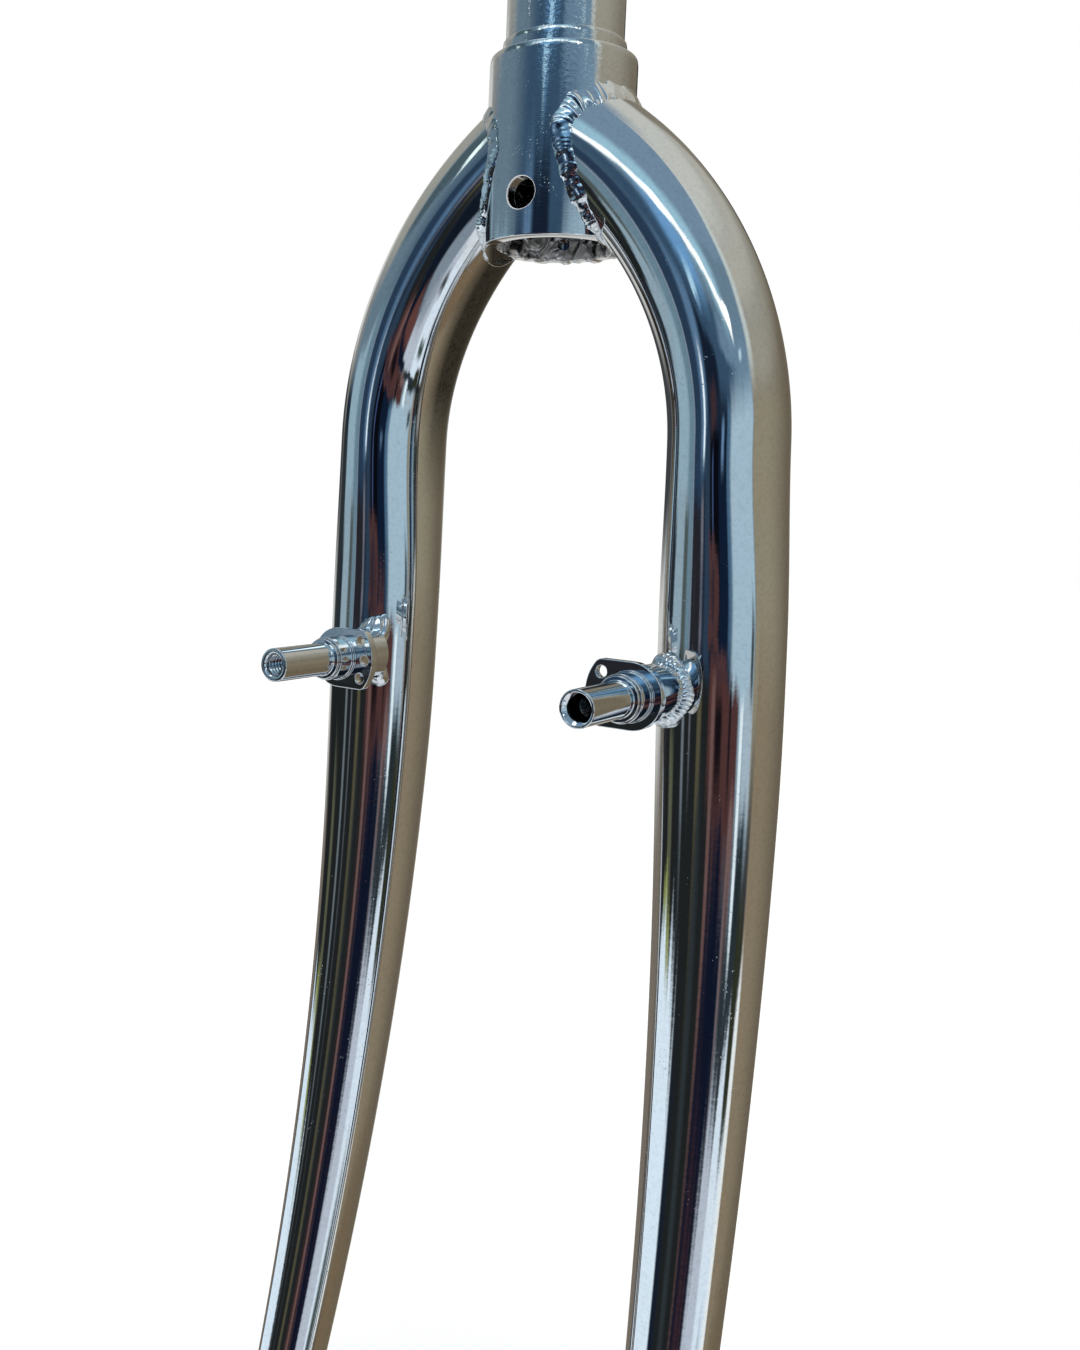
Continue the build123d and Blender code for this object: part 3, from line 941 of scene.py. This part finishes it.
# Each card: headings and their soft edge, elevations and their soft edge, in degrees from the camera's heading,
# then a slope, a bow, a screen colour and a strength
CARDS = [
    ("ceiling", (-190, 190, 1), (38, 99, 12), 0, 0, (112, 136, 157), 1),
    ("upper wall", (-190, 190, 1), (22, 42, 10), 0, 0, (100, 125, 143), 1),
    ("wall", (-190, 190, 1), (10, 25, 7), 0, 0, (52, 77, 100), 1),
    ("wall left", (-140, -74, 40), (9, 25, 6), 0, 0, (98, 119, 133), 1),
    ("wall far left", (-190, -128, 20), (9, 25, 6), 0, 0, (128, 130, 131), 1),
    ("wall right", (14, 52, 24), (10, 27, 6), 0, 0, (104, 130, 150), 1),
    ("left pale", (-190, -140, 14), (-4, 11, 5), 0, 0, (150, 145, 128), 1),
    ("left brown", (-190, -146, 8), (-8, 3.5, 4), 0, 0, (64, 60, 50), 1),
    ("left shade", (-149, -118, 4), (-8, 4, 4), 0, 0, (42, 48, 52), 1),
    ("under shade", (-123, -114, 4), (-7.5, -2.6, 2), 0, 0, (34, 42, 50), 1),
    ("steel", (-118, -84, 5), (-3, 11, 3), 0, 0, (140, 166, 180), 1),
    ("steel low", (-114, -84, 5), (-8, -2, 2), 0, 0, (138, 160, 172), 1),
    ("steel shade", (-88, -74, 9), (-8, 11, 4), 0, 0, (102, 128, 143), 1),
    ("grey tongue", (-93, -84, 5), (-9, -3.5, 2.5), 0, 0, (74, 84, 84), 1),
    ("window frame", (-75.5, -73, 2), (-9, 8, 4), 0, 0, (124, 140, 156), 1),
    ("navy curtain", (-72, -52, 6), (-4, 12, 4), 0, 0, (38, 57, 79), 1),
    ("dark recess", (-73, -57, 5), (-9, -3.5, 3), 0, 0, (36, 36, 42), 1),
    ("tube glow", (-58, -45, 7), (0, 14, 6), 0, 0, (86, 116, 146), 1),
    ("white tube", (-52.8, -49.2, 2), (0.8, 8, 3), 0, 0, (232, 246, 252), 1),
    ("grey sill", (-56, -51, 3), (-6.5, -2.5, 3), 0, 0, (104, 106, 116), 1),
    ("slate", (-48, -36, 5), (-8, 4, 4), 0, 0, (42, 59, 78), 1),
    ("dark arch", (-44, -18, 8), (8, 15, 3), 0, 0, (20, 30, 46), 1),
    ("red wall", (-37, -26, 6), (4, 9, 3), 0.12, 0, (58, 43, 47), 1),
    ("doorway", (-38, -18, 6), (-6, 4, 3), 0, 0, (8, 10, 16), 1),
    ("blue glint", (-33, -31, 2.5), (-5, 2, 3), 0, 0, (66, 84, 126), 1),
    ("navy side", (-20, -3, 5), (-7, 5, 3), 0, 0, (15, 27, 47), 1),
    ("pale glint", (-15, -10, 3), (1, 6.5, 3), 0, 0, (96, 126, 158), 1),
    ("panel edge", (-4, 3, 4), (-6, 10, 4), 0, 0, (70, 100, 126), 1),
    ("pale panel", (3, 46, 6), (-13, 13, 11), 0.1, 0, (158, 183, 198), 1),
    ("panel side", (39, 44, 3), (-14, -3, 3), 0, 0, (62, 72, 76), 1),
    ("panel foot", (30, 48, 5), (-13.5, -8, 3), 0, 0, (160, 178, 190), 1),
    ("dark horizon", (-142, -20, 5), (-17, -8, 2), 0, 0, (30, 33, 34), 1),
    ("olive line", (-112, -102, 5), (-16.5, -12, 3), 0, 0, (84, 88, 70), 1),
    ("grey line", (-84, -79, 4), (-14.5, -8, 3), 0, 0, (104, 114, 120), 1),
    ("pale line", (-69, -66, 3), (-13.5, -8, 3), 0, 0, (92, 96, 104), 1),
    ("sill", (-53, -46, 5), (-14.5, -9, 3), 0, 0, (84, 80, 60), 1),
    ("red floor", (-33, 20, 5), (-13.9, -7.4, 2), -0.03, 0, (76, 50, 49), 1),
    ("red stripe", (-40, -6, 6), (-6.5, -5.4, 1), -0.06, 0, (76, 52, 52), 1),
    ("red fold", (-21, -9, 6), (-12.5, -8.6, 2.5), -0.1, 0, (20, 16, 20), 1),
    ("red gap", (3, 7, 3), (-12.5, -7, 3), -0.1, 0, (30, 24, 28), 1),
    ("navy floor", (-24, 10, 5), (-24, -14, 1.4), 0, 0, (14, 21, 38), 1),
    ("pink line left", (-28, -22, 4), (-15.2, -8, 2), 0, 0, (104, 79, 77), 1),
    ("pink line right", (10, 19, 5), (-16.4, -13, 1.6), 0, 0, (112, 90, 89), 1),
    ("white board", (23.4, 28.6, 2.6), (-15.2, -8, 1.4), 0, 0, (220, 234, 240), 1),
    ("board gap", (30, 40, 4), (-17.5, -13.8, 1.6), 0, 0, (34, 44, 48), 1),
    ("dark gap", (14, 40, 6), (-18, -15.6, 1.2), -0.05, 0, (42, 50, 56), 1),
    ("floor left", (-131, -75, 5), (-50, -17, 1.2), 0.02, 0, (212, 228, 240), 1),
    ("yellow edge", (-118, -98, 6), (-17.2, -16.4, 0.8), 0, 0, (140, 148, 88), 1),
    ("floor dark", (-76, -2, 6), (-50, -17.6, 3), 0, 0, (16, 24, 36), 1),
    ("floor sheen", (-50, -40, 8), (-32, -14, 6), 0, 0, (46, 53, 57), 1),
    ("red low", (-18, 3, 5), (-24, -17, 3), -0.15, 0, (92, 60, 56), 1),
    ("floor pale", (2, 30, 6), (-50, -17.2, 1.2), -0.05, 0, (178, 187, 200), 1),
    ("floor right", (27, 56, 6), (-50, -17.9, 1), -0.02, 0, (210, 224, 236), 1),
    ("floor far", (-16, 11, 6), (-50, -25.5, 5), 0, 0, (122, 135, 148), 1),
    ("floor grey", (4, 18, 10), (-38, -26, 8), -0.2, 0, (140, 152, 164), 1),
    ("floor stain", (33, 45, 4), (-28, -23.5, 3), 0, 0, (52, 64, 60), 1),
    ("floor shade", (18, 32, 6), (-42, -38, 3), 0, 0, (58, 62, 66), 1),
    ("dark corner", (40, 53, 4), (-20.2, -15, 1.6), -0.08, 0, (44, 48, 36), 1),
    ("floor corner", (50, 67, 5), (-50, -29, 5), -0.1, 0, (38, 37, 30), 1),
    ("floor low", (-40, 150, 30), (-99, -48, 5), 0, 0, (206, 213, 218), 1),
    ("floor under", (-190, -60, 30), (-99, -34, 10), 0, 0, (192, 200, 206), 1),
    ("tan top", (45, 190, 4), (44, 80, 18), 0, 0, (187, 189, 183), 1),
    ("tan upper", (46, 190, 5), (28, 50, 16), 0, 0, (168, 167, 158), 1),
    ("tan mid", (46, 190, 5), (12, 33, 14), 0, 0, (148, 145, 133), 1),
    ("tan level", (46, 190, 4), (-12, 16, 10), 0, 0, (138, 131, 112), 1),
    ("tan low", (55, 190, 5), (-34, -9, 8), -0.06, 0, (130, 118, 98), 1),
    ("tan foot", (66, 190, 8), (-47, -30, 6), 0, 0, (114, 98, 76), 1),
    ("white skirting", (51, 60, 4), (-30, -18, 2), 0, 0, (226, 232, 232), 1),
    ("tan edge", (44, 52, 7), (20, 62, 14), 0, 0, (186, 196, 194), 1),
    ("tan shade", (104, 170, 70), (-40, 24, 24), 0, 0, (100, 92, 78), 1),
    ("back pale", (165, 214, 14), (-40, 62, 20), 0, 0, (196, 197, 194), 1),
    ("back dark", (168, 216, 10), (-3, 9, 6), 0, 0, (58, 60, 62), 1),
    ("left tan", (-172, -116, 16), (20, 40, 8), 0, 0, (148, 149, 142), 1),
    ("wall left top", (-114, -70, 10), (23.5, 37, 5), 0, 0, (70, 88, 96), 1),
    ("left lamp", (-90, -81.5, 2.5), (24.6, 27.4, 1.5), -0.7, 0, (228, 250, 250), 1.2),
    ("left back low", (-186, -136, 10), (-40, -13, 8), 0, 0, (112, 105, 96), 1),
    ("streak left", (-36, -29, 4), (18.6, 30, 2), 0, 0, (190, 232, 250), 1),
    ("streak low", (-33, -29, 4), (17.5, 20, 2), 0, 0, (92, 132, 170), 1),
    ("wall lit", (-8, 24, 10), (17.8, 25, 2.5), 0, 0, (100, 127, 149), 1),
    ("streak right", (26, 31, 4), (20.9, 23, 1.2), 0, 0, (176, 202, 216), 1),
    ("glow", (-46, -20, 14), (22, 33, 9), 0, 0, (104, 152, 196), 1),
    ("above strip", (-60, 12, 14), (34, 47, 10), -0.06, -0.006, (150, 190, 208), 1),
    ("strip", (-61, 19, 4), (33.53, 37.53, 2.6), -0.024, -0.006, (248, 255, 255), 1.15),
    ("lamp left", (-36, -28, 4), (33, 37, 3), 0, 0, (215, 240, 255), 3),
    ("lamp right", (13, 19, 4), (26.5, 30, 3), 0, 0, (250, 253, 255), 3),
    ("top lamp", (-120, -60, 10), (62, 76, 4), 0, 0, (240, 250, 255), 1.5),
    ("back tan", (146, 190, 10), (22, 50, 8), 0, 0, (122, 116, 104), 1),
    ("back shade", (152, 184, 10), (12, 22, 4), 0, 0, (40, 42, 44), 1),
]


def linear(colour):
    """A colour written as 0 to 255 screen values, as linear light."""
    share = np.array(colour) / 255
    return np.where(share <= 0.04045, share / 12.92, ((share + 0.055) / 1.055) ** 2.4)


def window(value, low, high, soft):
    """1 between low and high, easing to 0 over soft at each side."""
    share = np.clip(((high - low) / 2 + soft / 2 - np.abs(value - (low + high) / 2)) / soft, 0, 1)
    return share * share * (3 - 2 * share)


def tent_paint(bearing, elevation):
    """The cards' light at headings and elevations in degrees."""
    sway = 0.8 * np.sin(np.radians(elevation * 9)) + 0.5 * np.sin(np.radians(elevation * 23 + 40))
    lift = 0.4 * np.sin(np.radians(bearing * 17)) + 0.25 * np.sin(np.radians(bearing * 41 + 70))
    bearing = bearing + sway
    elevation = elevation + lift
    paint = np.ones((len(bearing), 3)) * linear(DARK_ROOM)
    for _, (start, end, soft_side), (low, high, soft_edge), slope, bow, colour, strength in CARDS:
        middle = (start + end) / 2
        off = (bearing - middle + 180) % 360 - 180
        share = window(off, start - middle, end - middle, soft_side)
        share = share * window(elevation - off * slope - off * off * bow, low, high, soft_edge)
        paint = paint * (1 - share[:, None]) + linear(colour) * strength * share[:, None]
    return paint


tent_rises = np.concatenate((np.arange(-88, -24, 1.6), np.arange(-24, 44, 0.4), np.arange(44, 89, 1.6)))
bearing, elevation = np.meshgrid(np.linspace(-180, 180, TENT_COLUMNS, endpoint=False), tent_rises)
bearing, elevation = bearing.ravel(), elevation.ravel()
aim = np.radians(bearing) + heading
ray = np.radians(elevation)
spots = np.stack((np.sin(aim) * np.cos(ray), -np.cos(aim) * np.cos(ray), np.sin(ray)), -1) * TENT_RADIUS
tent_mesh = bpy.data.meshes.new("light_tent")
tent_mesh.from_pydata([tuple(spot) for spot in spots], [], wrap_faces(len(tent_rises), TENT_COLUMNS))
tent_colours = tent_mesh.color_attributes.new("cards", "FLOAT_COLOR", "POINT")
tent_light = np.ones((len(spots), 4))
tent_light[:, :3] = tent_paint(bearing, elevation)
tent_colours.data.foreach_set("color", tent_light.astype(np.float32).ravel())
tent_cloth = bpy.data.materials.new("tent_cloth")
tent_cloth.use_nodes = True
tent_cloth.node_tree.nodes.clear()
cards = Wire(tent_cloth.node_tree).add("ShaderNodeAttribute", {"attribute_name": "cards"}, None, "Color")
lit = cards.add("ShaderNodeEmission", None, {"Color": cards, "Strength": TENT_STRENGTH})
tent_out = tent_cloth.node_tree.nodes.new("ShaderNodeOutputMaterial")
tent_cloth.node_tree.links.new(lit.socket, tent_out.inputs["Surface"])
tent_mesh.materials.append(tent_cloth)
tent = bpy.data.objects.new("light_tent", tent_mesh)
bpy.context.collection.objects.link(tent)
tent.visible_camera = False
tent.visible_diffuse = False
tent.visible_shadow = False

FLOOR_RADIUS = 6.0
FLOOR_WHITE = (0.92, 0.92, 0.92)
bpy.ops.mesh.primitive_circle_add(vertices=128, radius=FLOOR_RADIUS, fill_type="NGON", location=(0, 0, cad_low.z))
floor = bpy.context.object
floor.name = "floor"
floor_paint = bpy.data.materials.new("floor_paint")
floor_paint.use_nodes = True
floor_shader = floor_paint.node_tree.nodes["Principled BSDF"]
floor_shader.inputs["Base Color"].default_value = (*FLOOR_WHITE, 1)
floor_shader.inputs["Roughness"].default_value = 0.9
floor.data.materials.append(floor_paint)
floor.visible_glossy = False

lamp_light = bpy.data.lights.new("soft_lamp", "SUN")
lamp_light.energy = 2.0
lamp_light.angle = math.radians(35)
lamp = bpy.data.objects.new("soft_lamp", lamp_light)
lamp.rotation_euler = (math.radians(12), math.radians(8), 0)
lamp.visible_glossy = False
bpy.context.collection.objects.link(lamp)

world = bpy.data.worlds.new("white_surround")
world.use_nodes = True
sky = Wire(world.node_tree)
seen = sky.add("ShaderNodeLightPath", out="Is Camera Ray")
mirrored = sky.add("ShaderNodeLightPath", out="Is Glossy Ray")
through = sky.add("ShaderNodeLightPath", out="Is Transmission Ray")
direct = (seen + mirrored + through).clamp()
surround = world.node_tree.nodes["Background"]
surround.inputs["Color"].default_value = (1, 1, 1, 1)
world.node_tree.links.new((0.6 + 0.4 * direct).socket, surround.inputs["Strength"])
bpy.context.scene.world = world
